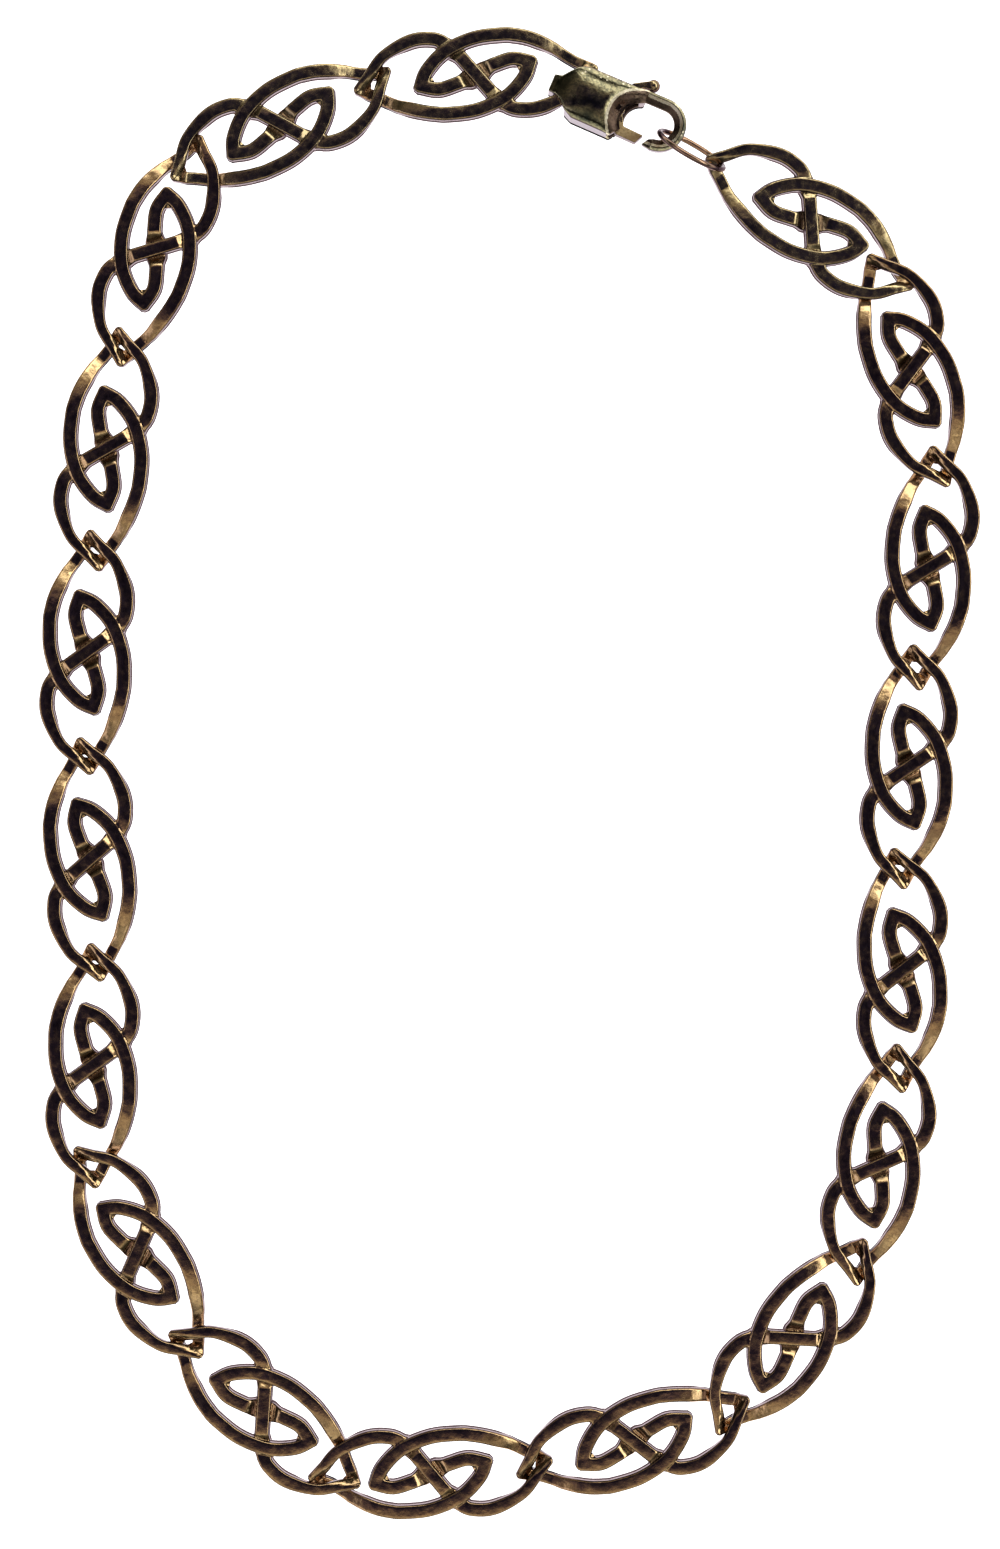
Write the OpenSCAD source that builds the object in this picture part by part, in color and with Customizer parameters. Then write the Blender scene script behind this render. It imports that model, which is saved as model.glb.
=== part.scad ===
// Necklace of cast knot links, laid flat in its closed loop, with a lobster clasp and a jump ring.
// The frame: the floor is z = 0, +Y points to the clasp and the origin is at the middle of the loop.

/* [Link wire] */
// Width of the link's wire, at its widest
wire_w = 1.25; // [1.1:0.05:1.4]
// Height of the link's wire
wire_t = 1.25; // [1.1:0.05:1.4]
// Width of the flat on top of the wire
wire_flat = 0.8; // [0.5:0.05:0.9]
// Clear height between the lower and the upper wire where two links cross
level_gap = 0.2; // [0.12:0.01:0.25]
// How far the wire dips where it passes under another wire of its own link, as a share of one level
dip = 0.35; // [0.25:0.05:0.5]

/* [Clasp] */
// Height of the clasp's body at the top of its dome
body_h = 4.4; // [4.2:0.1:4.8]
// Radius of the middle line of the clasp's round nose
nose_r = 2.2; // [2.1:0.05:2.3]
// Width of the hook, seen from above
hook_w = 1.3; // [1.1:0.05:1.4]
// Height of the hook
hook_t = 1.7; // [1.6:0.1:2]
// Thickness of the lever
lever_t = 1.2; // [0.9:0.05:1.2]
// Diameter of the lever's round thumb knob
knob_d = 1.4; // [1.2:0.05:1.4]
// Diameter of the rivet that the lever turns on
pin_d = 0.7; // [0.6:0.05:0.8]
// Radial clearance of the rivet in its bores
pin_clear = 0.05; // [0.03:0.01:0.09]

/* [Jump ring] */
// Outer diameter of the jump ring
ring_d = 8.2; // [8.1:0.05:8.3]
// Diameter of the jump ring's wire
ring_wire = 0.6; // [0.5:0.05:0.6]
// How far the jump ring leans from lying flat, in degrees
ring_lean = 69; // [68:0.5:70]

/* [Hidden] */

gold = [0.72, 0.58, 0.30];
olive_gold = [0.60, 0.50, 0.28];
rose_gold = [0.76, 0.56, 0.38];

// Each link where it lies: x and y of its middle, its turn, how far its upper and lower tips are bent
// sideways, and by how many degrees its lower tip is lifted, because the last links hang on the jump ring.
// A link's upper tip is the end towards the clasp's tail, going round the loop, and holds the link before.
LINKS = [
    // x, y, turn, upper tip, lower tip, lift
    [-3.5, 73.3, -84.1, 0.7, 0.4, 0],
    [-23.9, 68.1, -64.1, -0.2, 0.1, 0],
    [-37, 55, -18.9, 0.6, 0.4, 0],
    [-42.2, 34.1, -5.7, 0.1, 0.5, 0],
    [-44.2, 12.8, 0.1, 0.4, 0.3, 0],
    [-43.9, -8.9, 5.6, 0.2, -0.1, 0],
    [-43.6, -30.5, 0.5, -0.1, 0.2, 0],
    [-38.9, -50.1, 30.9, 0.1, 0.1, 0],
    [-25.7, -66.6, 50.4, 0, 0.3, 0],
    [-8.2, -73.1, 94.4, 0.4, 0.3, 0],
    [13.1, -69.8, 106.6, 0, 0.8, 0],
    [29.7, -59, 141.2, -0.2, 0.5, 0],
    [38.7, -40.9, 168.4, -0.3, 0.6, 0],
    [41.2, -20.5, 182.1, 0.5, 0.4, 0],
    [41.9, 0.8, 178.4, 0.2, -0.1, 0],
    [43.9, 21.6, 175.5, -0.1, 0.5, 0],
    [42.1, 42.4, 197.5, 0, 0.6, 1],
    [31.2, 57.8, 239.2, 0.2, 0.1, 6.6]
];

// Half of a link's endless knot, as the middle of its wire: x, y and the level, 0 low and 1 high.
// The other half is the same turned by half a turn. First, from under the right crossing to the upper tip.
DIP = 1 - dip;
TO_TIP = [
    // x, y, level
    [3, 2.3, DIP],
    [4.05, 3.9, 1],
    [4.15, 6.3, 1],
    [2.95, 9.4, 1],
    [1.1, 11.15, 1]
];
// Then down round the tip and under the next link.
DOWN = [
    // x, y, level
    [1.1, 11.15, 1],
    [0.15, 12.1, 0.35],
    [-0.4, 11.55, 0],
    [-2.2, 8.5, 0]
];
// Then up again round the left side and over the left crossing.
TO_POINT = [
    // x, y, level
    [-2.2, 8.5, 0],
    [-3.2, 6.2, 0.75],
    [-3.85, 3.2, 1],
    [-3.75, 0.2, 1],
    [-2.7, -2.9, 1],
    [-0.9, -5, 1]
];
// Then back from the inner point to the middle, under the bar, and a little into the other half.
TO_MIDDLE = [
    // x, y, level
    [-0.9, -5, 1],
    [0.7, -5.8, 1],
    [1.2, -4, 1],
    [0.8, -2, 0.8],
    [-0.1, 0.35, DIP]
];
// The bar that joins the two crossings over the middle.
BAR = [
    // x, y, level
    [-2.9, -2.1, DIP],
    [0, 0, 1],
    [2.9, 2.1, DIP]
];

curve_steps = 2;      // rings of wire on each span of a curved stretch
bend_from = 5;        // the tips bend from this distance to the link's middle
bend_to = 13;         // and reach their full bend here
level_h = wire_t + level_gap;
lift_from = 12;       // a lifted link tips about its upper tip, this far from its middle

function ease(t) = t * t * (3 - 2 * t);
function curve(a, b, c, d, t) =
    0.5 * ((2 * b) + (c - a) * t + (2 * a - 5 * b + 4 * c - d) * t * t + (3 * b - a - 3 * c + d) * t * t * t);
// A smooth line through the rows: x and y follow a curve, and the level eases from row to row.
function span_point(rows, i, t) =
    let (last = len(rows) - 1,
         p = curve(rows[max(i - 1, 0)], rows[i], rows[i + 1], rows[min(i + 2, last)], t))
    [p.x, p.y, rows[i].z + (rows[i + 1].z - rows[i].z) * ease(t)];
function smooth(rows, steps) =
    [for (i = [0:len(rows) - 2]) for (k = [0:steps - 1]) span_point(rows, i, k / steps)];

// The tips of a link are bent sideways by upper and lower.
function bend_share(y) = pow(max(0, (abs(y) - bend_from) / (bend_to - bend_from)), 2);
function bent(p, upper, lower) =
    [p.x + (p.y > 0 ? upper : lower) * bend_share(p.y), p.y, wire_t / 2 + p.z * level_h];

function unit2(v) = [v.x, v.y] / norm([v.x, v.y]);
// The sideways direction at point i of a line, lengthened where the line turns a sharp corner.
function side_at(path, i) =
    let (last = len(path) - 1,
         a = unit2(path[max(i, 1)] - path[max(i, 1) - 1]),
         b = unit2(path[min(i, last - 1) + 1] - path[min(i, last - 1)]),
         m = [-(a.y + b.y), a.x + b.x])
    m / (1 + a * b);

// The wire's section: across, up.
WIRE = [
    // across, up
    [wire_flat / 2, wire_t / 2],
    [-wire_flat / 2, wire_t / 2],
    [-wire_w / 2, -0.05],
    [-wire_flat / 2, -wire_t / 2],
    [wire_flat / 2, -wire_t / 2],
    [wire_w / 2, -0.05]
];

module sweep(path) {
    n = len(WIRE);
    points = [for (i = [0:len(path) - 1]) let (s = side_at(path, i))
        for (w = WIRE) [path[i].x + s.x * w.x, path[i].y + s.y * w.x, path[i].z + w.y]];
    sides = [for (i = [0:len(path) - 2]) for (k = [0:n - 1])
        [i * n + k, (i + 1) * n + k, (i + 1) * n + (k + 1) % n, i * n + (k + 1) % n]];
    first = [for (k = [0:n - 1]) k];
    last = [for (k = [0:n - 1]) len(path) * n - 1 - k];
    polyhedron(points, concat(sides, [first, last]));
}

// The rows of one half of the knot joined to one line, and turned by half a turn for the other half.
HALF = concat(smooth(TO_TIP, curve_steps), smooth(DOWN, 1), smooth(TO_POINT, curve_steps),
              smooth(TO_MIDDLE, 1), [TO_MIDDLE[4]]);
OTHER_HALF = [for (p = HALF) [-p.x, -p.y, p.z]];

module link(row) {
    upper = row[3];
    lower = row[4];
    lift = row[5];
    // The three stretches of wire are fused into one solid of the full height of two levels.
    translate([row.x, row.y, 0])
        rotate(row.z)
            translate([0, lift_from, 0])
                rotate([-lift, 0, 0])
                    translate([0, -lift_from, 0])
                        resize([0, 0, wire_t + level_h])
                            for (line = [HALF, OTHER_HALF, BAR])
                                sweep([for (p = line) bent(p, upper, lower)]);
}

for (i = [1:18])
    color(gold) link(LINKS[i - 1]);

// The clasp lies along its own x axis, from its tail at 0 to its nose, and these turn and move it there.
clasp_at = [4.9, 72.13];
clasp_turn = -23;

// Outline of the clasp's body from above.
BODY = [
    // along, across
    [-0.5, -0.95],
    [0.3, -1],
    [1, -1.35],
    [1.85, -2.25],
    [2.8, -2.7],
    [7.2, -2.75],
    [8.3, -1.3],
    [9.3, 1.9],
    [9.3, 3.1],
    [3.1, 3.1],
    [2.25, 2.95],
    [1.55, 2.45],
    [0.8, 1.6],
    [0.3, 1.05],
    [-0.5, 0.95]
];
barrel_r = 4.6;       // the dome is round across
dome_r = 14;          // and less round along
dome_x = 5;           // highest point of the dome, along
plate_z = 2.95;       // underside of the body over the first link's tip
plate_end = 4.6;
wall_y = -2.15;       // inner face of the side wall
wall_x = 1.7;         // the side wall starts here
slot_x = [5.4, 8.7];  // the lever's slot, along
slot_z = [1.15, 2.65];
gate_x = 6.9;         // the side wall ends here, and the gate comes out
eye_y = [-0.7, 0.7];  // bar of the tail's eye, across
eye_z = [0.25, 1.25];
band_t = 0.6;         // the tail's band that joins this bar to the body
hole_at = [9.7, 0];   // round end of the clasp's opening
hole_r = 1.8;
scoop_at = [9.55, -0.35];
scoop_r = [1.95, 3.4];// the scoop widens upward round the opening
nose_at = [11.6, 0.3];
hook_z = 1.8;         // underside of the hook
bar_x = 8.9;          // the hook's straight bar starts here
pin_at = [6.85, 0.3];
pin_z = [0.1, 3.3];
big = 20;             // longer than the clasp, for cuts

// The hook's section: outward from the nose's middle, and up.
HOOK = [
    [nose_r - hook_w / 2, hook_z + 0.45 * hook_t],
    [nose_r - 0.15 * hook_w, hook_z],
    [nose_r + 0.25 * hook_w, hook_z],
    [nose_r + hook_w / 2, hook_z + 0.25 * hook_t],
    [nose_r + hook_w / 2, hook_z + 0.75 * hook_t],
    [nose_r + 0.25 * hook_w, hook_z + hook_t],
    [nose_r - hook_w / 2, hook_z + 0.6 * hook_t]
];
// Outline of the hook's pointed end.
HOOK_END = [
    [11.65, -2.5],
    [10.6, -2.35],
    [11.1, -1.45],
    [11.65, -1.3]
];

module at_clasp() {
    translate([clasp_at.x, clasp_at.y, 0]) rotate(clasp_turn) children();
}

module box_between(a, b) {
    translate(a) cube(b - a);
}

module dome() {
    intersection() {
        linear_extrude(body_h) polygon(BODY);
        translate([-big / 2, 0, body_h - barrel_r])
            rotate([0, 90, 0]) cylinder(h = 2 * big, r = barrel_r, $fn = 48);
        translate([dome_x, big / 2, body_h - dome_r])
            rotate([90, 0, 0]) cylinder(h = big, r = dome_r, $fn = 72);
    }
}

module clasp_body() {
    difference() {
        union() {
            dome();
            // The hook: a straight bar, the round nose and the pointed end.
            translate([bar_x, nose_at.y, 0])
                rotate([90, 0, 90]) linear_extrude(nose_at.x - bar_x) polygon(HOOK);
            translate([nose_at.x, nose_at.y, 0])
                rotate(-90) rotate_extrude(angle = 180, $fn = 48) polygon(HOOK);
            translate([0, 0, hook_z + 0.2 * hook_t])
                linear_extrude(0.5 * hook_t) polygon(HOOK_END);
        }
        // The opening and the scoop round it.
        translate([hole_at.x, hole_at.y, -1]) cylinder(h = body_h + 2, r = hole_r, $fn = 48);
        translate([scoop_at.x, scoop_at.y, slot_z[1]])
            cylinder(h = body_h - slot_z[1], r1 = scoop_r[0], r2 = scoop_r[1], $fn = 48);
        // The hollow under the body, where the first link's tip lies.
        difference() {
            box_between([-1, -4, -1], [plate_end, 4, plate_z]);
            box_between([wall_x, -4, -2], [plate_end + 1, wall_y, plate_z + 1]);
            box_between([-1, eye_y[0], eye_z[0]], [plate_end + 1, eye_y[1], eye_z[1]]);
            box_between([-1, -4, eye_z[0]], [band_t - 0.5, 4, plate_z + 1]);
        }
        // The lever's slot, open to the thumb knob's side, and the rivet's bore.
        box_between([slot_x[0], wall_y, slot_z[0]], [slot_x[1], 4, slot_z[1]]);
        box_between([gate_x, -4, slot_z[0]], [slot_x[1], 4, slot_z[1]]);
        translate([pin_at.x, pin_at.y, -1])
            cylinder(h = pin_z[1] + 1.1, r = pin_d / 2 + pin_clear, $fn = 24);
    }
}

// Outline of the lever's gate arm and of its trigger arm.
GATE = [
    // along, across
    [6.15, -0.2],
    [6.9, -1.5],
    [7.55, -2.1],
    [7.8, -2.3],
    [9.95, -2.35],
    [10.45, -1.3],
    [8.2, -1.2],
    [7.6, -0.1]
];
TRIGGER = [
    // along, across
    [6.15, 0.8],
    [7.4, 3.35],
    [9.2, 4.4],
    [9.6, 3.5],
    [8.5, 3.3],
    [7.5, 0.9]
];
hub_r = 0.85;
lever_z = (slot_z[0] + slot_z[1] - lever_t) / 2;
knob_at = [9.45, 3.97];

module clasp_lever() {
    difference() {
        union() {
            translate([0, 0, lever_z]) linear_extrude(lever_t) {
                polygon(GATE);
                polygon(TRIGGER);
                translate(pin_at) circle(r = hub_r, $fn = 32);
            }
            translate([knob_at.x, knob_at.y, lever_z + lever_t / 2])
                sphere(d = knob_d, $fn = 24);
        }
        translate([pin_at.x, pin_at.y, -1]) cylinder(h = body_h, r = pin_d / 2 + pin_clear, $fn = 24);
    }
}

module clasp_pin() {
    translate([pin_at.x, pin_at.y, pin_z[0]]) cylinder(h = pin_z[1] - pin_z[0], d = pin_d, $fn = 24);
}

color(olive_gold) at_clasp() clasp_body();
color(gold) at_clasp() clasp_lever();
color(olive_gold) at_clasp() clasp_pin();

// The jump ring leans between the hook's nose and the last link's tip.
ring_at = [18.99, 64.98, 4.06];
ring_turn = -30.6;

module jump_ring() {
    translate(ring_at)
        rotate([0, 0, ring_turn])
            rotate([-ring_lean, 0, 0])
                rotate_extrude($fn = 36)
                    translate([(ring_d - ring_wire) / 2, 0]) circle(d = ring_wire, $fn = 12);
}

color(rose_gold) jump_ring();
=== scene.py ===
# %% [markdown]
# A necklace of cast knot links lies in a loop on a white table. The wire is gilt and polished, so most of
# what one sees on it is what stands round it: a dark place above the camera and white walls.
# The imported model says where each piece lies. It comes in first, and everything else is built on it.
# Sizes are given in millimetres, and MM turns them into Blender's metres.

# %% Load the frame
import math

import bmesh
import bpy
import numpy as np
from mathutils import Matrix, Vector


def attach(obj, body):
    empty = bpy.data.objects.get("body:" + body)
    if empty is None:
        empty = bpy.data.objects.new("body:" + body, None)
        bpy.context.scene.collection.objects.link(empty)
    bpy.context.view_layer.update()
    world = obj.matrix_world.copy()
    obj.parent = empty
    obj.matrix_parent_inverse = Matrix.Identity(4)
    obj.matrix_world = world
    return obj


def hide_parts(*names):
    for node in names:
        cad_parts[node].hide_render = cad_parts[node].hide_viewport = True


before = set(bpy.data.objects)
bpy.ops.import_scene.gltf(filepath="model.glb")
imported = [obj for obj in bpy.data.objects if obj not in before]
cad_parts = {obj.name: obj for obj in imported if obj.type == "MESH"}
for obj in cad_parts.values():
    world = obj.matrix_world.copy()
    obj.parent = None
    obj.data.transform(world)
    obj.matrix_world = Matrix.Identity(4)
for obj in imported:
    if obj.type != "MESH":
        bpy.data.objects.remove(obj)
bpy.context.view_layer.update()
MM = 0.001
CHAIN, LEVER = "necklace", "lever"

# %% [markdown]
# The camera looks straight down on the table. It hangs only a third of a metre up, so at the edge of the
# picture it sees a little of the inner walls of the links, and its height matters, not only its angle.
# The lens is worked out from the width of table that the picture takes in, measured at the height of the
# wires' tops. The loop's middle lies a few columns to the right of the picture's, so the camera stands a
# little to the left.

# %% Camera
IMAGE_WIDTH, LOOP_COLUMN = 1000, 509
MM_PER_PIXEL, SCALE_HEIGHT = 0.1045, 2.75
CAMERA_HEIGHT, NEAR_LIMIT, SENSOR = 320, 10, 36


def in_scene(name, data):
    """A new object with this data, put into the scene."""
    made = bpy.data.objects.new(name, data)
    bpy.context.scene.collection.objects.link(made)
    return made


camera = in_scene("camera", bpy.data.cameras.new("camera"))
camera.location = ((IMAGE_WIDTH / 2 - LOOP_COLUMN) * MM_PER_PIXEL * MM, 0, CAMERA_HEIGHT * MM)
camera.data.sensor_fit = "HORIZONTAL"
camera.data.sensor_width = SENSOR
camera.data.lens = SENSOR * (CAMERA_HEIGHT - SCALE_HEIGHT) / (IMAGE_WIDTH * MM_PER_PIXEL)
camera.data.clip_start = NEAR_LIMIT * MM
bpy.context.scene.camera = camera
print("lens", round(camera.data.lens, 1), "mm")

# %% [markdown]
# The sky and the metals are made of nodes: each takes numbers in, changes them and passes them on. One can
# wire them up in the editor, but a script is easier to read again and to change. Each helper here adds one
# node and gives back what comes out of it, so one call can stand inside the next, as in a sum.

# %% Helpers for nodes
def empty_tree(owner):
    """The node tree of a world or a material, cleared."""
    owner.use_nodes = True
    owner.node_tree.nodes.clear()
    return owner.node_tree


def add_node(tree, kind, inputs, **settings):
    """A new node. Each input gets a plain value, or is linked to what comes out of another node."""
    made = tree.nodes.new("ShaderNode" + kind)
    for name, value in settings.items():
        setattr(made, name, value)
    for name, value in inputs.items():
        socket = made.inputs[name]
        if isinstance(value, bpy.types.NodeSocket):
            tree.links.new(value, socket)
        else:
            socket.default_value = (*value, 1) if socket.type == "RGBA" else value
    return made


def vector(tree, operation, *values):
    """A sum with vectors or colours, such as a product or a length."""
    made = add_node(tree, "VectorMath", dict(enumerate(values)), operation=operation)
    return made.outputs["Value" if operation in ("LENGTH", "DOT_PRODUCT") else "Vector"]


def noise(tree, place, scale, detail=2.0):
    """Soft random spots from 0 to 1: the larger the scale, the smaller they are."""
    return add_node(tree, "TexNoise", {"Vector": place, "Scale": scale, "Detail": detail}).outputs["Fac"]


def ramp(tree, stops, value):
    """The value turned into a colour by these stops: place, then a grey or a colour."""
    made = tree.nodes.new("ShaderNodeValToRGB")
    elements = made.color_ramp.elements
    while len(elements) < len(stops):
        elements.new(0.5)
    for element, (place, colour) in zip(elements, stops):
        element.position = place
        element.color = (*colour, 1) if isinstance(colour, tuple) else (colour, colour, colour, 1)
    tree.links.new(value, made.inputs["Fac"])
    return made.outputs["Color"]


print("helpers for nodes ready")

# %% [markdown]
# A polished wire shows its surroundings, so the light is made of directions, not of lamps. Overhead is a
# dark patch, longer from left to right than from front to back, and round it the white walls of a light
# box begin. A flat top shows the dark patch, and a top that slopes by a few degrees already shows a wall.
# In the sky of the scene, each direction is measured from the middle of the patch, and one colour ramp
# turns that distance into light. A second ramp darkens what is low, as a room is dark beyond the lamps:
# it is what gives every rounded edge its dark outline. Soft clouds break the even tone up, since no room
# is even.

# %% Sky
DARK_SQUEEZE, DARK_NORTH = (0.55, 1, 0), (0, -0.07, 0)
SKY = [
    (0.0, (0.0040, 0.0042, 0.013)),
    (0.25, (0.0080, 0.0070, 0.020)),
    (0.34, (0.043, 0.033, 0.050)),
    (0.46, (0.135, 0.112, 0.100)),
    (0.65, (0.27, 0.25, 0.23)),
    (0.82, (0.70, 0.68, 0.66)),
    (1.0, (1.0, 0.985, 0.975)),
]
LOW_SKY = [(0.0, 0.02), (0.45, 0.025), (0.66, 0.22), (0.84, 1.0)]
CLOUDS, CLOUD_SCALE = [(0.38, 0.55), (0.62, 1.9)], 9

world = bpy.data.worlds.new("studio")
bpy.context.scene.world = world
sky = empty_tree(world)
direction = add_node(sky, "TexCoord", {}).outputs["Generated"]
height = add_node(sky, "SeparateXYZ", {"Vector": direction}).outputs["Z"]
from_patch = vector(sky, "LENGTH", vector(sky, "MULTIPLY_ADD", direction, DARK_SQUEEZE, DARK_NORTH))
light = vector(sky, "MULTIPLY", ramp(sky, SKY, from_patch), ramp(sky, LOW_SKY, height))
light = vector(sky, "MULTIPLY", light, ramp(sky, CLOUDS, noise(sky, direction, CLOUD_SCALE)))
print("tones from the patch outwards:", len(SKY), "and from low to high:", len(LOW_SKY))

# %% [markdown]
# One wide window in the north-east, half way up, draws a thin bright line along every rounded edge that
# faces it, and the highlight on the clasp. A smaller and dimmer one in the west does the same for the other
# side. Lamps could do this too, but here a window is only one ramp on how far a direction points its way,
# times one on how high it points. Right at the horizon the room is pale again, as a plain backdrop for
# views from the side.

# %% Windows and horizon
WINDOWS = [
    # where it lies, then how its light grows towards it
    ((0.82, 0.57, 0), [(0.26, 0.0), (0.42, 1.4)]),
    ((-0.94, -0.34, 0), [(0.62, 0.0), (0.72, (0.50, 0.46, 0.54))]),
]
WINDOW_HIGH = [(0.46, 0.0), (0.55, 1.0), (0.69, 1.0), (0.78, 0.0)]
HORIZON = [(0.0, 0.62), (0.13, 0.60), (0.22, 0.0)]
SKY_STRENGTH = 1.5

for towards, growing in WINDOWS:
    glow = ramp(sky, growing, vector(sky, "DOT_PRODUCT", direction, towards))
    light = vector(sky, "ADD", light, vector(sky, "MULTIPLY", glow, ramp(sky, WINDOW_HIGH, height)))
light = vector(sky, "ADD", light, ramp(sky, HORIZON, height))
background = add_node(sky, "Background", {"Color": light, "Strength": SKY_STRENGTH})
add_node(sky, "OutputWorld", {"Surface": background.outputs["Background"]})
print("windows in the sky:", len(WINDOWS), "and nodes in all:", len(sky.nodes))

# %% [markdown]
# The table is a plain white sheet that reaches far past the picture. The Standard view shows a white of 1
# as white, where a film look would grey it.

# %% Table
TABLE_HALF = 1500
PAPER_WHITE, PAPER_ROUGH, PAPER_GLOW = 0.92, 0.9, 1.6

paper = bpy.data.materials.new("white_paper")
tree = empty_tree(paper)
shader = add_node(tree, "BsdfPrincipled", {
    "Base Color": (PAPER_WHITE, PAPER_WHITE, PAPER_WHITE), "Roughness": PAPER_ROUGH,
    "Emission Color": (1, 1, 1), "Emission Strength": PAPER_GLOW})
add_node(tree, "OutputMaterial", {"Surface": shader.outputs["BSDF"]})

table_mesh = bpy.data.meshes.new("table")
table_mesh.from_pydata([(-1, -1, 0), (1, -1, 0), (1, 1, 0), (-1, 1, 0)], [], [(0, 1, 2, 3)])
table_mesh.transform(Matrix.Scale(TABLE_HALF * MM, 4))
table_mesh.materials.append(paper)
table = in_scene("table", table_mesh)
bpy.context.scene.view_settings.view_transform = "Standard"
print("table made,", 2 * TABLE_HALF, "mm wide")

# %% [markdown]
# Cast and polished gold is never a perfect mirror. Under the polish lie low waves that make reflections
# swim, then a mottle of a third of a millimetre from wear, and a fine sand left by the mould. All three
# have no pattern and are far too shallow to model: each is one noise at its own size, fed to the bump, and
# each metal says how strong it is there.

# %% Waves, mottle and sand
RELIEF = [
    # size, the noise's detail, depth
    (1.5, 1, 0.06),
    (0.32, 3, 0.012),
    (0.10, 2, 0.004),
]


def grain(tree, size, detail):
    """A noise on the piece itself, with spots of about this size."""
    place = add_node(tree, "TexCoord", {}).outputs["Object"]
    return noise(tree, place, 1 / (size * MM), detail)


def relief(tree, strengths):
    """Waves, mottle and sand, one on another, as the bumpy direction of the surface."""
    before = {}
    for (size, detail, depth), strength in zip(RELIEF, strengths):
        bump = {"Height": grain(tree, size, detail), "Strength": strength, "Distance": depth * MM}
        before = {"Normal": add_node(tree, "Bump", bump | before).outputs["Normal"]}
    return before["Normal"]


print("sizes in the relief:", [size for size, detail, depth in RELIEF], "mm")

# %% [markdown]
# Here light and shade are painted into the colour. It is mixed by how far the surface turns away from the
# sky: gold on top, painted shade on the steep shoulders, a painted warm light where it lies low between the
# wires, and a pale rosy tone on the upright walls, which mirror nothing but the white table. Close to the
# table the walls get painted shade again, as a contact shadow, and the tint at a glance is painted black
# there. A metal seen at a glance turns white, so the tint that it takes on at a glance is held down as well.
# One could paint all this on by hand, link by link, but two rules, on slope and on height, fit every piece
# at once.

# %% Colour by slope and height
# The dark tone is painted shade, on steep shoulders and, as a contact shadow, at the foot of the walls. The
# warm tone is painted warm light, low between the wires.
WALL, PAINTED_SHADE, PAINTED_WARM_LIGHT = (0.38, 0.32, 0.33), (0.045, 0.028, 0.03), (0.42, 0.24, 0.11)
SHADED_FOOT_GLANCE, WALL_GLANCE = (0.0, 0.0, 0.0), (0.60, 0.56, 0.58)
FOOT_LOW, FOOT_HIGH = 0.85, 1.05
WARM_LOW, WARM_HIGH = 2.0, 2.5
UPRIGHT, SHOULDER, TOP_STEEP = (0.14, 0.28), (0.50, 0.62), (0.66, 0.90)


def spread(tree, value, from_low, from_high, low=0, high=1):
    """The value, with what lies between two limits drawn out to run from low to high."""
    limits = {"From Min": from_low, "From Max": from_high, "To Min": low, "To Max": high}
    return add_node(tree, "MapRange", {"Value": value} | limits).outputs["Result"]


def mix(tree, factor, first, second):
    """The first colour where the factor is 0, and the second where it is 1."""
    colours = {"Factor": factor, "A": first, "B": second}
    return add_node(tree, "Mix", colours, data_type="RGBA").outputs["Result"]


def by_slope(tree, top, wall, steep):
    """The colour with painted shade and warm light, and the glance tint, by where the surface faces and how
    high it lies.
    """
    geometry = add_node(tree, "NewGeometry", {}).outputs
    level = add_node(tree, "SeparateXYZ", {"Vector": geometry["Normal"]}).outputs["Z"]
    height = add_node(tree, "SeparateXYZ", {"Vector": geometry["Position"]}).outputs["Z"]
    above_foot = spread(tree, height, FOOT_LOW * MM, FOOT_HIGH * MM)
    # Shoulders: painted warm light low down, painted shade higher up. Walls: painted shade at the foot, as a
    # contact shadow.
    skin = mix(tree, spread(tree, height, WARM_LOW * MM, WARM_HIGH * MM), PAINTED_WARM_LIGHT, PAINTED_SHADE)
    side = mix(tree, above_foot, PAINTED_SHADE, wall)
    side = mix(tree, spread(tree, level, *UPRIGHT), side, PAINTED_SHADE)
    side = mix(tree, spread(tree, level, *SHOULDER), side, skin)
    # At the foot the glance tint is painted black too, as part of the contact shadow.
    glance = mix(tree, above_foot, SHADED_FOOT_GLANCE, WALL_GLANCE)
    return mix(tree, spread(tree, level, *steep), side, top), glance


print("full gold up to a slope of", round(math.degrees(math.acos(TOP_STEEP[1]))), "degrees")

# %% [markdown]
# The plating is thinner where the links rub, so gold turns to a worn tone in soft patches, and small specks
# of the worn tone lie among them and are a little duller. On a piece that is given one, a painted highlight
# of pale gold, a little rougher, lies along the edges, and Pointiness finds them: it tells how sharply the
# surface bends outwards at each spot. A separate material for each piece could be built by hand, but they
# would soon drift apart, so one recipe makes them all, and each metal differs only in its tones and
# strengths.

# %% Gold
PATCHES, SPECKS, DULLING = (2.6, 4), (0.28, 4), (0.7, 5)
PATCH_WORN, PATCH_GOLD = 0.30, 0.62
SPECK_WORN, SPECK_GOLD, SPECK_SHARE, SPECK_ROUGH = 0.40, 0.52, 0.45, 0.015
DULL_FROM, DULL_TO = 0.35, 0.65
# Where Pointiness lays the painted edge highlight, and how much rougher the surface is there.
EDGE, EDGE_HIGHLIGHT_ROUGH = (0.53, 0.60), 0.25


def plus(tree, first, second):
    """Two values added up."""
    return add_node(tree, "Math", {0: first, 1: second}, operation="ADD").outputs["Value"]


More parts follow.
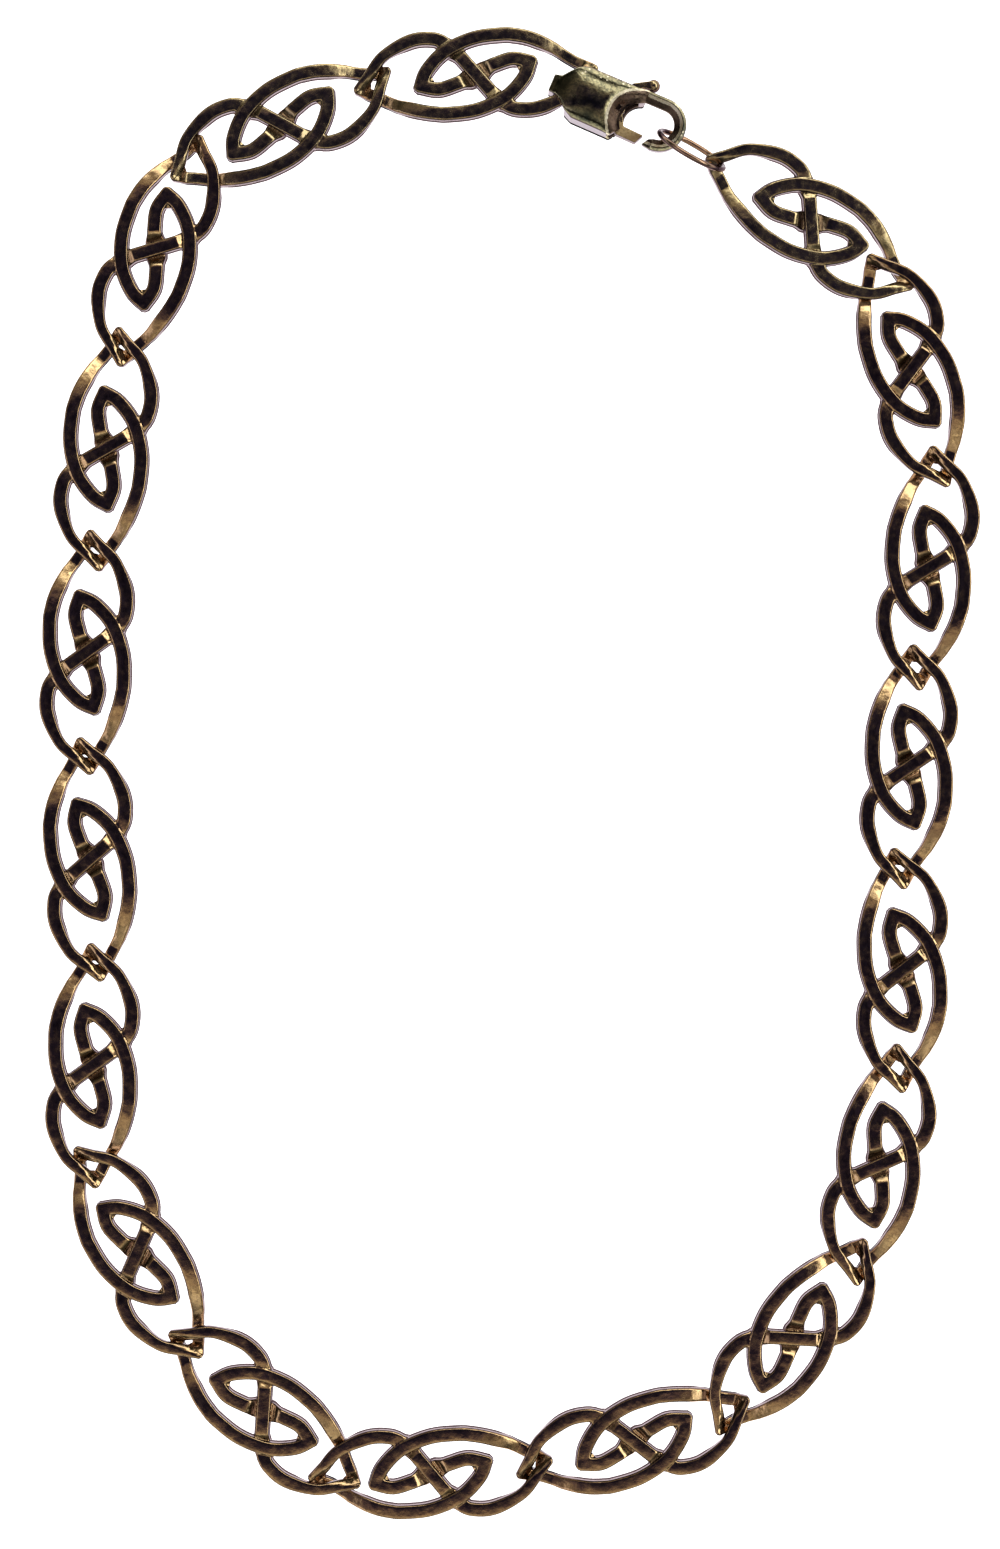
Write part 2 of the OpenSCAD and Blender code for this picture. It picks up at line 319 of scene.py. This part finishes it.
def gold(name, colour, worn, roughness, wave=0.8, mottle=0.6, sand=0.4, rough_spread=0.16, wall=WALL,
         edge_highlight=None, steep=TOP_STEEP):
    """A gilt metal of this colour and worn tone, with its relief and painted shade and light; any edge
    highlight is painted too.
    """
    metal = bpy.data.materials.new(name)
    tree = empty_tree(metal)
    patches = ramp(tree, [(PATCH_WORN, worn), (PATCH_GOLD, colour)], grain(tree, *PATCHES))
    specks = ramp(tree, [(SPECK_WORN, SPECK_SHARE), (SPECK_GOLD, 1.0)], grain(tree, *SPECKS))
    top = mix(tree, specks, worn, patches)
    rough = spread(tree, grain(tree, *DULLING), DULL_FROM, DULL_TO, roughness, roughness + rough_spread)
    rough = plus(tree, rough, spread(tree, specks, SPECK_SHARE, 1, SPECK_ROUGH, 0))
    # On sharp outward edges, a painted highlight of pale gold, a little rougher.
    if edge_highlight:
        bend = add_node(tree, "NewGeometry", {}).outputs["Pointiness"]
        top = mix(tree, spread(tree, bend, *EDGE), top, edge_highlight)
        rough = plus(tree, rough, spread(tree, bend, *EDGE, 0, EDGE_HIGHLIGHT_ROUGH))
    base, glance = by_slope(tree, top, wall, steep)
    shader = add_node(tree, "BsdfPrincipled", {
        "Base Color": base, "Metallic": 1, "Roughness": rough, "Specular Tint": glance,
        "Normal": relief(tree, (wave, mottle, sand))})
    add_node(tree, "OutputMaterial", {"Surface": shader.outputs["BSDF"]})
    print(name, "made of", len(tree.nodes), "nodes")
    return metal


print("patches, specks and dull spots of", PATCHES[0], SPECKS[0], "and", DULLING[0], "mm")

# %% [markdown]
# The necklace has seven tones. Most links are a warm gold. The three nearest to the clasp are more olive,
# and so is the clasp's lever. The clasp's dome is gold darkened with painted shade, with a painted highlight
# on its edges. Inside its scoop lies a dull brown of painted shade, a thin line of painted highlight runs
# round it, and the gate is brushed. The ring is rosier than the rest. Each tone was found by rendering it
# and comparing the same spots with a photograph.

# %% The seven golds
# Pale gold for the painted highlight on the clasp's edges.
PAINTED_EDGE_HIGHLIGHT = (0.95, 0.86, 0.60)
CLASP_STEEP, CLASP_WALL = (0.46, 0.64), (0.44, 0.40, 0.43)
# The scoop and the lip get the painted side tones only where they are almost upright.
LITTLE_PAINTED_SHADE = (0.0, 0.2)
RING_WALL = (0.30, 0.18, 0.11)

LINK_GOLD = gold("link_gold", (0.95, 0.655, 0.31), (0.60, 0.41, 0.22), 0.05, wave=1.3, mottle=1.1)
OLIVE_GOLD = gold("olive_gold", (0.84, 0.66, 0.33), (0.50, 0.39, 0.22), 0.10, wave=1.3, mottle=1.3)
# The clasp's gold is darkened almost to black: painted shade for the dark room it mirrors.
CLASP_GOLD_PAINTED_SHADE = gold("clasp_gold", (0.45, 0.40, 0.22), (0.06, 0.07, 0.05), 0.10, mottle=1.2,
                  edge_highlight=PAINTED_EDGE_HIGHLIGHT, steep=CLASP_STEEP, wall=CLASP_WALL)
# A dull brown of painted shade for the scoop, the hook's inner band and the rivet's end.
PAINTED_SCOOP_SHADE = gold("scoop_painted_shade", (0.17, 0.12, 0.08), (0.08, 0.055, 0.045), 0.22, steep=LITTLE_PAINTED_SHADE)
GATE_GOLD = gold("gate_gold", (1.0, 0.80, 0.42), (0.60, 0.42, 0.20), 0.56, mottle=1.5, sand=1.0,
                 rough_spread=0.1)
# A thin band of painted highlight round the scoop and along the hook.
PAINTED_LIP_HIGHLIGHT = gold("lip_painted_highlight", (1.0, 0.92, 0.70), (0.70, 0.60, 0.36), 0.40, rough_spread=0.1, steep=LITTLE_PAINTED_SHADE)
ROSE_GOLD = gold("ring_gold", (0.84, 0.56, 0.36), (0.60, 0.38, 0.24), 0.10, wall=RING_WALL)

# %% [markdown]
# Every link is one endless knot of wire, cast in one piece. One could model it with a curve and a bevel,
# but then the flat on top of the wire would tip over where the wire climbs. So the section is carried along
# the line by hand. The line comes from short tables, drawn along the solid's: x and y, and the level, 0 for
# a wire that lies on the table and 1 for a wire that lies on another. They give half of the knot, and the
# other half is the same turned by half a turn.

# %% The knot's line
WIRE_W, WIRE_T, AIR = 1.25, 1.25, 0.2
LEVEL_H = WIRE_T + AIR
DIP = 0.5
TO_TIP = [
    # x, y, level
    (2.9, 2.1, DIP), (3.35, 2.75, 0.87), (4.05, 3.9, 1), (4.15, 6.3, 1), (2.95, 9.4, 1), (1.1, 11.2, 0.93),
    (0.05, 12.2, 0.80),
]
FOLD = [
    # x, y, level
    (0.05, 12.2, 0.72), (-0.5, 11.3, 0.14), (-0.85, 10.6, 0), (-1.15, 10.1, 0), (-1.6, 9.42, 0),
    (-2.2, 8.5, 0.27),
]
TO_POINT = [
    # x, y, level
    (-2.2, 8.5, 0.27), (-2.72, 7.37, 0.58), (-3.3, 5.9, 0.84), (-3.65, 4.58, 0.95), (-3.85, 3.2, 1),
    (-3.75, 0.2, 1), (-2.7, -2.9, 1), (-0.9, -5, 1), (0.7, -5.8, 1),
]
TO_MIDDLE = [
    # x, y, level
    (0.7, -5.8, 1), (1.2, -4, 1), (0.82, -2.1, 1), (0.62, -1.5, 0.93), (0.25, -0.6, DIP), (-0.1, 0.35, DIP),
]
BAR = [
    # x, y, level
    (-2.9, -2.1, DIP), (-2.1, -1.52, 0.93), (-1.7, -1.22, 1), (0, 0, 1), (1.7, 1.22, 1), (2.1, 1.52, 0.93),
    (2.9, 2.1, DIP),
]
print("places in the tables:", sum(len(rows) for rows in (TO_TIP, FOLD, TO_POINT, TO_MIDDLE, BAR)))

# %% [markdown]
# A wire bends smoothly, and the tables give only a few places. A spline fills in the points between them and
# passes through each one. At the knot's two corners, the tip and the inner point, the wire folds back
# sharply: there each stretch runs on a little, straight, so that the two overlap in the corner.

# %% Smooth lines through the tables
CORNER_REACH = 0.34


def curve(a, b, c, d, t):
    """A point between b and c on a smooth line through a, b, c and d."""
    return 0.5 * (2 * b + (c - a) * t + (2 * a - 5 * b + 4 * c - d) * t**2 + (3 * b - a - 3 * c + d) * t**3)


def smooth(rows, steps, straight=False):
    """Points along the rows, with the level turned to the height of the wire's middle."""
    rows = np.array(rows, float)
    points = []
    for i in range(len(rows) - 1):
        a, b, c, d = (rows[min(max(i + k, 0), len(rows) - 1)] for k in (-1, 0, 1, 2))
        points += [b + (c - b) * t if straight else curve(a, b, c, d, t) for t in np.arange(steps) / steps]
    points = np.array(points + [rows[-1]])
    points[:, 2] = WIRE_T / 2 + np.clip(points[:, 2], 0, 1) * LEVEL_H
    return points


def beyond(line, start=0.0, end=0.0):
    """The line with its ends drawn out straight by these lengths."""
    first, last = (line[0] - line[1]) * (1, 1, 0), (line[-1] - line[-2]) * (1, 1, 0)
    line = line.copy()
    line[0] += first * (start / np.linalg.norm(first))
    line[-1] += last * (end / np.linalg.norm(last))
    return line


to_tip = beyond(smooth(TO_TIP, steps=7), end=CORNER_REACH)
fold = beyond(smooth(FOLD, steps=4, straight=True), start=CORNER_REACH)
to_point = beyond(smooth(TO_POINT, steps=6), end=CORNER_REACH)
fold_to_point = np.vstack([fold, to_point[1:]])
to_middle = beyond(smooth(TO_MIDDLE, steps=6), start=CORNER_REACH)
bar = smooth(BAR, steps=5)
print("points on the line:", 2 * (len(to_tip) + len(fold_to_point) + len(to_middle)) + len(bar))

# %% [markdown]
# The section of the wire is a flat that is a hair crowned, a soft shoulder, a straight side and a rounded
# back. Low on each side runs the seam of the mould, a soft ledge of a tenth of a millimetre. Close to the
# tip, the flat narrows to a ridge and its inner side falls away like a leaf's. One could draw the section
# as a curve, but a short list of places across and up can be seamed and bevelled by rule as it travels.

# %% The wire's section
SECTION = [
    # across, up
    (0.0, 0.625), (0.30, 0.619), (0.47, 0.605), (0.535, 0.577), (0.585, 0.525), (0.612, 0.45), (0.625, 0.36),
    (0.625, 0.0), (0.625, -0.20), (0.62, -0.42), (0.55, -0.52), (0.42, -0.61), (0.28, -0.625),
]
AROUND_WIRE = SECTION + [(-x, z) for x, z in SECTION[:0:-1]]
SEAM, SEAM_FROM, SEAM_TO = 0.09, -0.15, -0.45
BEVEL_SLOPE, BEVEL_FLOOR = 0.75, -0.15
RIDGE_START, RIDGE_END = 0.45, -0.25


def bevelled(across, up, share):
    """A point of the section where the flat narrows to a ridge and the inner side falls away."""
    ridge = RIDGE_START + (RIDGE_END - RIDGE_START) * share
    if share <= 0 or up < 0 or across < ridge:
        return across, up
    return across, min(up, max(WIRE_T / 2 - BEVEL_SLOPE * (across - ridge), BEVEL_FLOOR))


def section_with(seam, thin, bevel):
    """The section with this much seam, with its back thinned, and bevelled by this share."""
    seamed = [(w + math.copysign(seam, w) * (SEAM_TO < h < SEAM_FROM), h) for w, h in AROUND_WIRE]
    return [bevelled(w, h * thin if h < 0 else h, bevel) for w, h in seamed]


print("points round the wire:", len(AROUND_WIRE))

# %% [markdown]
# Now the section travels along each line. The wire is fuller in the middle of the link than at its tips, and
# it flares where it dips under another, since wax has run into those crossings. Where links hang in each
# other, years of rubbing have thinned the upper wire from below. A bevelled curve can change its width along
# the way, but not its section, so here each point of the line gets a section of its own.

# %% Sweep the wires
FULLER, SLIM_FROM, SLIM_OVER = 0.18, 9, 2
FLARE, FLARE_LEVEL, FLARE_TO = 0.42, 0.4, 3.4
RUBBED_THIN, THIN_FROM, THIN_TO = 0.45, 7.0, 8.3
BEVEL_FROM = 3.0
shapes = []


def add_shape(points, faces):
    """One closed shape, and the same turned by half a turn for the knot's other half."""
    points = np.array(points, float)
    shapes.append((points, faces))
    shapes.append((points * (-1, -1, 1), faces))


def between_rings(rings, around, first=0):
    """The faces that join each ring of points to the next. The first ring starts at this point."""
    return [(first + i * around + k, first + i * around + (k + 1) % around,
             first + (i + 1) * around + (k + 1) % around, first + (i + 1) * around + k)
            for i in range(rings - 1) for k in range(around)]


def sideways(line):
    """The level direction across the line at each point."""
    along = np.gradient(line[:, :2], axis=0)
    along /= np.linalg.norm(along, axis=1)[:, None]
    return np.stack([-along[:, 1], along[:, 0]], axis=1)


def sweep(line, at_tip=False):
    """The section carried along the line, with its ends capped. At the tip it is thinned and bevelled."""
    low = 1 - (line[:, 2] - WIRE_T / 2) / LEVEL_H
    far = np.abs(line[:, 1])
    full = np.clip((SLIM_FROM - far) / SLIM_OVER, 0, 1)
    wider = 1 + FULLER * full + FLARE * np.clip(low / FLARE_LEVEL, 0, 1) * (far < FLARE_TO)
    to_end = np.linalg.norm(line[:, :2] - line[-1, :2], axis=1)
    bevel = np.clip(1 - to_end / BEVEL_FROM, 0, 1) * at_tip
    thin = 1 - RUBBED_THIN * np.clip((far - THIN_FROM) / (THIN_TO - THIN_FROM), 0, 1) * at_tip
    points = []
    for p, s, f, seam, t, share in zip(line, sideways(line), wider, SEAM * full, thin, bevel):
        section = section_with(seam, t, share)
        points += [(p[0] + s[0] * w * f, p[1] + s[1] * w * f, p[2] + h) for w, h in section]
    n, last = len(AROUND_WIRE), len(line) - 1
    caps = [tuple(range(n))[::-1], tuple(last * n + k for k in range(n))]
    add_shape(points, between_rings(len(line), n) + caps)


sweep(to_tip, at_tip=True)
sweep(fold_to_point)
sweep(to_middle)
sweep(bar)
print("wires in the knot:", len(shapes))

# %% [markdown]
# A cast knot has no sharp corners. On the outside of each corner the wire is round, as if turned on a lathe,
# so a round end with the wire's own section is set there. On the inside, wax has run into the crook and made
# a small web. These are shapes of their own that only overlap the wires, which is far easier than to cut and
# join the meshes by hand.

# %% Round ends and webs
CORNER_SIDES = 24
TOP = WIRE_T + LEVEL_H
TIP_WEB = [(0.35, 11.6, 2.25), (0.62, 10.95, 2.15), (0.02, 11.0, 1.85)]
POINT_WEB = [(0.55, -5.35, TOP - 0.05), (-0.2, -4.6, TOP - 0.30), (0.48, -4.3, TOP - 0.30)]


def round_end(at, outwards, level, radius, seam=0.0):
    """The section turned round an upright axis: it rounds the outer side of a corner."""
    x, y = np.array(at) + np.array(outwards)
    z = WIRE_T / 2 + level * LEVEL_H
    n, rings = CORNER_SIDES, len(SECTION) - 1
    turns = [2 * math.pi * k / n for k in range(n)]
    points = [(x, y, z + WIRE_T / 2), (x, y, z - WIRE_T / 2)]
    for across, up in SECTION[1:]:
        r = across * radius / (WIRE_W / 2) + seam * (SEAM_TO < up < SEAM_FROM)
        points += [(x + r * math.cos(turn), y + r * math.sin(turn), z + up) for turn in turns]
    last = 2 + (rings - 1) * n
    faces = between_rings(rings, n, first=2)
    faces += [(0, 2 + k, 2 + (k + 1) % n) for k in range(n)]
    faces += [(1, last + (k + 1) % n, last + k) for k in range(n)]
    add_shape(points, faces)


def web(corners, depth):
    """A thin three-cornered web: x, y and height of its top at each corner."""
    points = corners + [(x, y, z - depth) for x, y, z in corners]
    add_shape(points, [(0, 1, 2), (5, 4, 3), (0, 3, 4, 1), (1, 4, 5, 2), (2, 5, 3, 0)])


round_end(at=(0.05, 12.2), outwards=(-0.05, 0.42), level=0.76, radius=0.26)
round_end(at=(0.7, -5.8), outwards=(0.15, -0.35), level=1, radius=0.42, seam=SEAM)
web(TIP_WEB, depth=0.45)
web(POINT_WEB, depth=0.6)
print("shapes in the knot:", len(shapes))

# %% [markdown]
# Now the wires, ends and webs overlap like bits of wax. A voxel remesh melts them into one skin, a few
# passes of smoothing give it the soft look of a cast piece that was tumbled, and a decimation takes back
# the faces that the even skin wastes on the flats. Where two wires almost touch, a tiny bubble can be left
# between them, and the decimation squeezes it to two faces back to back. Such faces are no part of a
# solid and would spoil every copy of the mesh when it is exported, so they are taken out.

# %% Melt them into one casting
VOXEL, PASSES, KEEP = 0.07, 2, 0.20
RUB = 0.5


def soft_skin(made, voxel, passes):
    """An even skin round the object's shapes, rubbed soft by this many passes."""
    skin = made.modifiers.new("skin", "REMESH")
    skin.mode = "VOXEL"
    skin.voxel_size = voxel
    rub = made.modifiers.new("rub", "SMOOTH")
    rub.factor = RUB
    rub.iterations = passes


def finished_mesh(made):
    """The mesh that the object's modifiers give."""
    bpy.context.view_layer.update()
    return bpy.data.meshes.new_from_object(made.evaluated_get(bpy.context.evaluated_depsgraph_get()))


def drop_bubbles(mesh):
    """Take out the faces that lie back to back: what is left of a bubble between two wires."""
    made = bmesh.new()
    made.from_mesh(mesh)
    squeezed = [face for face in made.faces
                if all(set(other.verts) == set(face.verts) for other in face.edges[0].link_faces)]
    print("faces of squeezed bubbles taken out:", len(squeezed))
    bmesh.ops.delete(made, geom=squeezed, context="FACES")
    made.to_mesh(mesh)
    made.free()


points, faces = [], []
for own_points, own_faces in shapes:
    faces += [tuple(len(points) + k for k in face) for face in own_faces]
    points += [tuple(p) for p in own_points]
wax_mesh = bpy.data.meshes.new("wax")
wax_mesh.from_pydata(points, [], faces)
wax = in_scene("wax", wax_mesh)
soft_skin(wax, VOXEL, PASSES)
fewer = wax.modifiers.new("fewer", "DECIMATE")
fewer.ratio = KEEP
knot = finished_mesh(wax)
bpy.data.objects.remove(wax)
drop_bubbles(knot)
print("the knot has", len(knot.vertices), "points and", len(knot.polygons), "faces")

# %% [markdown]
# Eighteen castings of one pattern are never quite alike: each was bent a little when it was linked up.
# The table says where each lies, how it is turned, how far its tips are bent sideways and by how many
# degrees its lower tip is lifted. Only the last two are lifted, where the chain climbs to the ring. The
# numbers are the solid's, so each link here lies where its solid does.

# %% Where the links lie
LINKS = [
    # x, y, turn, upper tip, lower tip, lift
    (-3.5, 73.3, -84.1, 0.7, 0.4, 0),
    (-23.9, 68.1, -64.1, -0.2, 0.1, 0),
    (-37, 55, -18.9, 0.6, 0.4, 0),
    (-42.2, 34.1, -5.7, 0.1, 0.5, 0),
    (-44.2, 12.8, 0.1, 0.4, 0.3, 0),
    (-43.9, -8.9, 5.6, 0.2, -0.1, 0),
    (-43.6, -30.5, 0.5, -0.1, 0.2, 0),
    (-38.9, -50.1, 30.9, 0.1, 0.1, 0),
    (-25.7, -66.6, 50.4, 0, 0.3, 0),
    (-8.2, -73.1, 94.4, 0.4, 0.3, 0),
    (13.1, -69.8, 106.6, 0, 0.8, 0),
    (29.7, -59, 141.2, -0.2, 0.5, 0),
    (38.7, -40.9, 168.4, -0.3, 0.6, 0),
    (41.2, -20.5, 182.1, 0.5, 0.4, 0),
    (41.9, 0.8, 178.4, 0.2, -0.1, 0),
    (43.9, 21.6, 175.5, -0.1, 0.5, 0),
    (42.1, 42.4, 197.5, 0, 0.6, 1),
    (31.2, 57.8, 239.2, 0.2, 0.1, 6.6),
]
print("links in the table:", len(LINKS))

# %% [markdown]
# Objects that share one mesh would be lighter, but then no link could be bent. So each link is its own copy
# of the knot, put through its moves point by point: bent at the tips, lifted, turned and moved. Its faces
# are shaded smooth, and only the sharper edges stay crisp.

# %% Lay the links
BEND_FROM, BEND_TO, LIFT_FROM = 5, 13, 12
CRISP_ANGLE = 32
OLIVE_LINKS = (1, 2, 18)


def shade_smooth(mesh):
    """No facets: the light runs smoothly over every face."""
    mesh.polygons.foreach_set("use_smooth", [True] * len(mesh.polygons))


def laid_link(row, name):
    """The knot bent, lifted, turned and moved to where this link lies."""
    x, y, turn, upper, lower, lift = row
    mesh = knot.copy()
    mesh.name = name
    points = np.empty(len(mesh.vertices) * 3)
    mesh.vertices.foreach_get("co", points)
    points = points.reshape(-1, 3)
    share = np.clip((np.abs(points[:, 1]) - BEND_FROM) / (BEND_TO - BEND_FROM), 0, None) ** 2
    points[:, 0] += np.where(points[:, 1] > 0, upper, lower) * share
    mesh.vertices.foreach_set("co", points.ravel())
    place = Matrix.Translation((x, y, 0)) @ Matrix.Rotation(math.radians(turn), 4, "Z")
    tip = Matrix.Translation((0, LIFT_FROM, 0))
    lifted = Matrix.Scale(MM, 4) @ place @ tip @ Matrix.Rotation(math.radians(-lift), 4, "X")
    mesh.transform(lifted @ tip.inverted())
    shade_smooth(mesh)
    mesh.set_sharp_from_angle(angle=math.radians(CRISP_ANGLE))
    return in_scene(name, mesh)


for number, row in enumerate(LINKS, start=1):
    node = f"link_{number:02d}"
    piece = laid_link(row, f"knot_{number:02d}")
    piece.data.materials.clear()
    piece.data.materials.append(OLIVE_GOLD if number in OLIVE_LINKS else LINK_GOLD)
    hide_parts(node)
    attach(piece, CHAIN)
print("links laid:", len(LINKS), "with", sum(len(p.vertices) - 2 for p in knot.polygons), "triangles each")

# %% [markdown]
# The clasp's body is a pressed and polished dome. The solid's dome is cut by two cylinders, which leaves
# creases between them. Here both curves are joined into one smooth dome that lies just under them, and at
# its sides, its tail and the scoop's lip it is turned down a little. A body modelled afresh could miss the
# lever and the hook, so the solid's own points are moved instead, by a rule in the clasp's own directions:
# along it, across it and up.

# %% The clasp's dome
CLASP_AT, CLASP_TURN = (4.9, 72.13), -23
BARREL_R, DOME_R, DOME_X = 4.6, 14, 5
BODY_END, END_OVER, TOP_FROM, TOP_OVER = 9.0, 0.8, 2.7, 0.4
LEFT_SIDE, RIGHT_SIDE, RIM_WIDTH, TAIL_LENGTH = 3.1, -2.75, 0.9, 2.6
SCOOP_AT, SCOOP_R, LIP_WIDTH = (9.55, -0.35), 3.3, 1.0
TURNED_DOWN, MOST_TURNS = 0.35, 1.4
COS, SIN = math.cos(math.radians(CLASP_TURN)), math.sin(math.radians(CLASP_TURN))


def in_clasp(points):
    """Places in metres as along, across and up in the clasp's own millimetres."""
    x, y = points[:, 0] / MM - CLASP_AT[0], points[:, 1] / MM - CLASP_AT[1]
    return x * COS + y * SIN, -x * SIN + y * COS, points[:, 2] / MM


def near(distance, width):
    """From 1 at an edge down to 0 at this width from it, round like a turned-down rim."""
    return np.clip(1 - distance / width, 0, 1) ** 2


def one_dome(points):
    """The top of the clasp's body brought down onto one smooth dome."""
    along, across, up = in_clasp(points)
    barrel = BARREL_R - np.sqrt(np.clip(BARREL_R**2 - across**2, 0, None))
    dome = DOME_R - np.sqrt(DOME_R**2 - (along - DOME_X) ** 2)
    creased, joined = np.maximum(barrel, dome), np.sqrt(barrel**2 + dome**2)
    on_top = np.clip((BODY_END - along) / END_OVER, 0, 1) * np.clip((up - TOP_FROM) / TOP_OVER, 0, 1)
    from_scoop = np.hypot(along - SCOOP_AT[0], across - SCOOP_AT[1])
    turns = near(LEFT_SIDE - across, RIM_WIDTH) + near(across - RIGHT_SIDE, RIM_WIDTH)
    turns += near(along, TAIL_LENGTH) + near(from_scoop - SCOOP_R, LIP_WIDTH)
    drop = on_top * (joined - creased + TURNED_DOWN * np.clip(turns, 0, MOST_TURNS))
    points[:, 2] -= drop * MM
    return points


print("the dome is turned down at its edges by", TURNED_DOWN, "to", round(TURNED_DOWN * MOST_TURNS, 2), "mm")

# %% [markdown]
# The clasp was cast and then rubbed round by years of wear, so no edge on it is sharp. Bevels would have to
# find each edge, and they fail where many meet. A voxel remesh turns the solid's exact form into an even
# skin instead, and a few passes of smoothing round every edge alike. That keeps the shape and its place,
# and gives the edges the width that catches the light.

# %% Worn skin of the clasp
def worn_copy(node, name, voxel, passes, material, body, shape=None):
    """A copy of a CAD piece with an even skin and its edges worn round."""
    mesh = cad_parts[node].data.copy()
    mesh.name = name
    made = in_scene(name, mesh)
    soft_skin(made, voxel * MM, passes)
    made.data = finished_mesh(made)
    made.modifiers.clear()
    if shape:
        points = np.empty(len(made.data.vertices) * 3)
        made.data.vertices.foreach_get("co", points)
        made.data.vertices.foreach_set("co", shape(points.reshape(-1, 3)).ravel())
    shade_smooth(made.data)
    made.data.materials.clear()
    made.data.materials.append(material)
    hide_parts(node)
    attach(made, body)
    print(name, "has", len(made.data.polygons), "faces")
    return made


clasp_body = worn_copy("clasp_body", "clasp", 0.09, 6, CLASP_GOLD_PAINTED_SHADE, CHAIN, one_dome)
clasp_lever = worn_copy("clasp_lever", "gate_and_trigger", 0.06, 3, OLIVE_GOLD, LEVER)

# %% [markdown]
# The scoop and the inner band of the hook get a dull brown of painted shade, a thin line round them gets a
# painted highlight of pale gold, and the gate's outer face is brushed. These borders run across smooth skin,
# where there is no edge to select. So each face is asked where its middle lies in the clasp, and gets its
# material by a rule, which also holds if the skin is made finer.

# %% Scoop, lip and gate
HOOK_FROM, NOSE_AT, BROWN_TO = 9.4, (11.6, 0.3), 2.15
LIP_LINE, GATE_SIDE = 0.28, -0.9


def finish_where(piece, material, chosen):
    """Give the faces for which chosen(along, across, up) holds another material."""
    mesh = piece.data
    centres = np.empty(len(mesh.polygons) * 3)
    mesh.polygons.foreach_get("center", centres)
    index = np.empty(len(mesh.polygons), np.int32)
    mesh.polygons.foreach_get("material_index", index)
    these = chosen(*in_clasp(centres.reshape(-1, 3)))
    index[these] = len(mesh.materials)
    mesh.materials.append(material)
    mesh.polygons.foreach_set("material_index", index)
    print(material.name, "on", these.sum(), "faces of the", piece.name)


def past_lip(along, across, up):
    """How far a face lies outside the scoop's lip, or on the hook outside its inner band of painted shade.
    """
    lip = np.hypot(along - SCOOP_AT[0], across - SCOOP_AT[1]) - SCOOP_R
    hook = np.hypot(np.clip(along - NOSE_AT[0], 0, None), across - NOSE_AT[1]) - BROWN_TO
    return np.where(along > HOOK_FROM, hook, lip)


# Painted shade inside the scoop and on the hook's inner band.
finish_where(clasp_body, PAINTED_SCOOP_SHADE, lambda *place: past_lip(*place) < 0)
# The painted highlight just outside the band of painted shade.
finish_where(clasp_body, PAINTED_LIP_HIGHLIGHT, lambda *place: (past_lip(*place) >= 0) & (past_lip(*place) < LIP_LINE))
finish_where(clasp_lever, GATE_GOLD, lambda along, across, up: across < GATE_SIDE)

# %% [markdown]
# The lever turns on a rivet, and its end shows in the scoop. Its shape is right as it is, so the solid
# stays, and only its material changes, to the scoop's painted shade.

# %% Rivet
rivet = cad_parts["clasp_pin"]
for slot in rivet.material_slots:
    slot.material = PAINTED_SCOOP_SHADE
print("materials on the rivet:", [slot.material.name for slot in rivet.material_slots])

# %% [markdown]
# The jump ring is a plain ring of round wire that leans between the hook and the last link. Blender's own
# torus is made by an operator, which depends on what is selected and open at the time. The same ring is
# two loops: one round the ring, and at each place on it one round the wire.

# %% Jump ring
RING_AT = Vector((18.99, 64.98, 4.06))
RING_D, RING_WIRE, RING_TURN, RING_LEAN = 8.2, 0.6, -30.6, 69
AROUND, SIDES = 128, 20


def ring_mesh():
    """A round wire bent to a circle that closes on itself, lying flat round the origin."""
    made = bmesh.new()
    rows = []
    radius = (RING_D - RING_WIRE) / 2
    for a in (2 * math.pi * i / AROUND for i in range(AROUND)):
        rows.append([])
        for b in (2 * math.pi * k / SIDES for k in range(SIDES)):
            out = radius + RING_WIRE / 2 * math.cos(b)
            point = (out * math.cos(a), out * math.sin(a), RING_WIRE / 2 * math.sin(b))
            rows[-1].append(made.verts.new(point))
    for i, here in enumerate(rows):
        there = rows[(i + 1) % AROUND]
        for k in range(SIDES):
            made.faces.new((here[k], there[k], there[(k + 1) % SIDES], here[(k + 1) % SIDES]))
    bmesh.ops.recalc_face_normals(made, faces=made.faces)
    mesh = bpy.data.meshes.new("ring")
    made.to_mesh(mesh)
    made.free()
    return mesh


mesh = ring_mesh()
place = Matrix.Translation(RING_AT) @ Matrix.Rotation(math.radians(RING_TURN), 4, "Z")
mesh.transform(Matrix.Scale(MM, 4) @ place @ Matrix.Rotation(math.radians(-RING_LEAN), 4, "X"))
shade_smooth(mesh)
mesh.materials.append(ROSE_GOLD)
ring = in_scene("ring", mesh)
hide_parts("jump_ring")
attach(ring, CHAIN)
print("ring made with", len(mesh.polygons), "faces")
